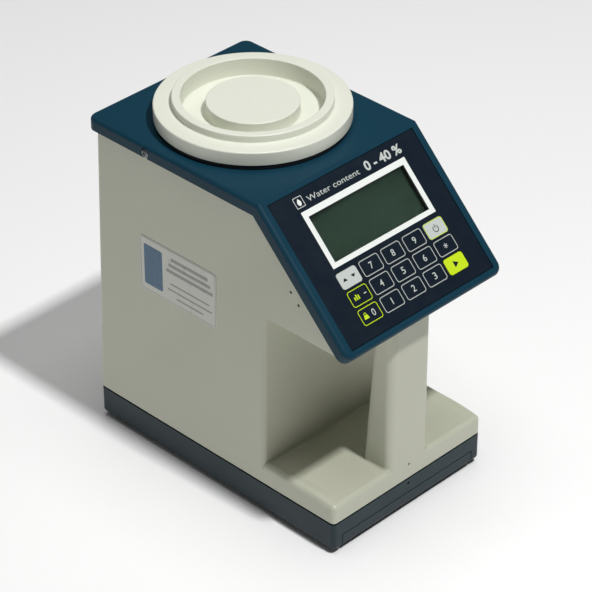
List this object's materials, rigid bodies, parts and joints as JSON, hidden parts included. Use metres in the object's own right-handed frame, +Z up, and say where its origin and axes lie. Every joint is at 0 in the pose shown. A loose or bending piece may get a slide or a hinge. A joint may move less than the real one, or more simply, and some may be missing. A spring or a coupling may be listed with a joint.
{
  "type": "grain moisture meter",
  "caption": "Bench-top grain moisture meter with a round measuring cell under a lift-off lid, a sloping keypad and display, and a hand recess with a pillar.",
  "frame": {"origin": "on the bench, under the middle of the meter's width and depth", "axes": "+Z up, -Y towards the user (display side), +X to the user's right"},
  "size_m": [0.1288, 0.2064, 0.226],
  "materials": {
    "housing_cream": "moulded, fine satin",
    "lid_cream": "moulded, satin",
    "cover_navy": "moulded, satin",
    "base_slate": "moulded, fine texture",
    "overlay_navy": "printed film, fine velvet grain",
    "key_white": "printed film",
    "key_green": "printed film",
    "black_plastic": "satin",
    "foot_rubber": "matte",
    "clear_window": "clear, polished",
    "lcd_glass": "glass over reflective display",
    "circuit_board": "solder mask",
    "label_film": "printed film",
    "flex_film": "polyester film",
    "battery_sleeve": "printed sleeve",
    "screw_steel": "zinc plated",
    "plate_steel": "zinc plated sheet",
    "spring_steel": "nickel plated",
    "aluminium": "turned"
  },
  "bodies": {
    "meter": {"base_tray": "base_slate", "foot_front_left": "foot_rubber", "foot_front_right": "foot_rubber", "foot_back_left": "foot_rubber", "foot_back_right": "foot_rubber", "battery_1": "battery_sleeve", "battery_2": "battery_sleeve", "battery_3": "battery_sleeve", "battery_4": "battery_sleeve", "contact_link": "spring_steel", "contact_positive": "spring_steel", "contact_negative": "spring_steel", "base_screw_front_left": "screw_steel", "base_screw_back_left": "screw_steel", "base_screw_front_right": "screw_steel", "base_screw_back_right": "screw_steel", "body_shell": "housing_cream", "top_cover": "cover_navy", "cover_screw_left": "screw_steel", "cover_screw_right": "screw_steel", "buzzer": "black_plastic", "data_jack": "black_plastic", "side_label": "label_film", "main_board": "circuit_board", "ribbon_cable": "flex_film", "keypad_overlay": "overlay_navy", "keypad_circuit": "flex_film", "display_window": "clear_window", "display_shroud": "black_plastic", "lcd_module": "lcd_glass", "display_board": "circuit_board", "cell_collar": "black_plastic", "outer_electrode": "aluminium", "cell_floor": "black_plastic", "centre_electrode": "aluminium", "electrode_cap": "black_plastic", "temperature_probe": "screw_steel", "cell_carrier": "aluminium", "load_cell": "aluminium", "load_cell_block": "plate_steel", "chassis_plate": "plate_steel"},
    "lid": {"cell_lid": "lid_cream"},
    "battery_door": {"battery_door": "base_slate"},
    "key_select": {"key_select": "key_white"},
    "key_7": {"key_7": "overlay_navy"},
    "key_8": {"key_8": "overlay_navy"},
    "key_9": {"key_9": "overlay_navy"},
    "key_power": {"key_power": "key_white"},
    "key_average": {"key_average": "overlay_navy"},
    "key_4": {"key_4": "overlay_navy"},
    "key_5": {"key_5": "overlay_navy"},
    "key_6": {"key_6": "overlay_navy"},
    "key_star": {"key_star": "overlay_navy"},
    "key_unit_0": {"key_unit_0": "overlay_navy"},
    "key_1": {"key_1": "overlay_navy"},
    "key_2": {"key_2": "overlay_navy"},
    "key_3": {"key_3": "overlay_navy"},
    "key_measure": {"key_measure": "key_green"}
  },
  "joints": [
    {"name": "lid_lift", "type": "slide", "parent": "meter", "child": "lid", "axis": [0, 0, 1], "range_m": [0, 0.06]},
    {"name": "battery_door_slide", "type": "slide", "parent": "meter", "child": "battery_door", "axis": [0, -1, 0], "range_m": [0, 0.036]},
    {"name": "press_select", "type": "slide", "parent": "meter", "child": "key_select", "axis": [0, 0.7071, -0.7071], "range_m": [0, 0.0004], "stiffness_N_per_m": 3000},
    {"name": "press_7", "type": "slide", "parent": "meter", "child": "key_7", "axis": [0, 0.7071, -0.7071], "range_m": [0, 0.0004], "stiffness_N_per_m": 3000},
    {"name": "press_8", "type": "slide", "parent": "meter", "child": "key_8", "axis": [0, 0.7071, -0.7071], "range_m": [0, 0.0004], "stiffness_N_per_m": 3000},
    {"name": "press_9", "type": "slide", "parent": "meter", "child": "key_9", "axis": [0, 0.7071, -0.7071], "range_m": [0, 0.0004], "stiffness_N_per_m": 3000},
    {"name": "press_power", "type": "slide", "parent": "meter", "child": "key_power", "axis": [0, 0.7071, -0.7071], "range_m": [0, 0.0004], "stiffness_N_per_m": 3000},
    {"name": "press_average", "type": "slide", "parent": "meter", "child": "key_average", "axis": [0, 0.7071, -0.7071], "range_m": [0, 0.0004], "stiffness_N_per_m": 3000},
    {"name": "press_4", "type": "slide", "parent": "meter", "child": "key_4", "axis": [0, 0.7071, -0.7071], "range_m": [0, 0.0004], "stiffness_N_per_m": 3000},
    {"name": "press_5", "type": "slide", "parent": "meter", "child": "key_5", "axis": [0, 0.7071, -0.7071], "range_m": [0, 0.0004], "stiffness_N_per_m": 3000},
    {"name": "press_6", "type": "slide", "parent": "meter", "child": "key_6", "axis": [0, 0.7071, -0.7071], "range_m": [0, 0.0004], "stiffness_N_per_m": 3000},
    {"name": "press_star", "type": "slide", "parent": "meter", "child": "key_star", "axis": [0, 0.7071, -0.7071], "range_m": [0, 0.0004], "stiffness_N_per_m": 3000},
    {"name": "press_unit_0", "type": "slide", "parent": "meter", "child": "key_unit_0", "axis": [0, 0.7071, -0.7071], "range_m": [0, 0.0004], "stiffness_N_per_m": 3000},
    {"name": "press_1", "type": "slide", "parent": "meter", "child": "key_1", "axis": [0, 0.7071, -0.7071], "range_m": [0, 0.0004], "stiffness_N_per_m": 3000},
    {"name": "press_2", "type": "slide", "parent": "meter", "child": "key_2", "axis": [0, 0.7071, -0.7071], "range_m": [0, 0.0004], "stiffness_N_per_m": 3000},
    {"name": "press_3", "type": "slide", "parent": "meter", "child": "key_3", "axis": [0, 0.7071, -0.7071], "range_m": [0, 0.0004], "stiffness_N_per_m": 3000},
    {"name": "press_measure", "type": "slide", "parent": "meter", "child": "key_measure", "axis": [0, 0.7071, -0.7071], "range_m": [0, 0.0004], "stiffness_N_per_m": 3000}
  ]
}
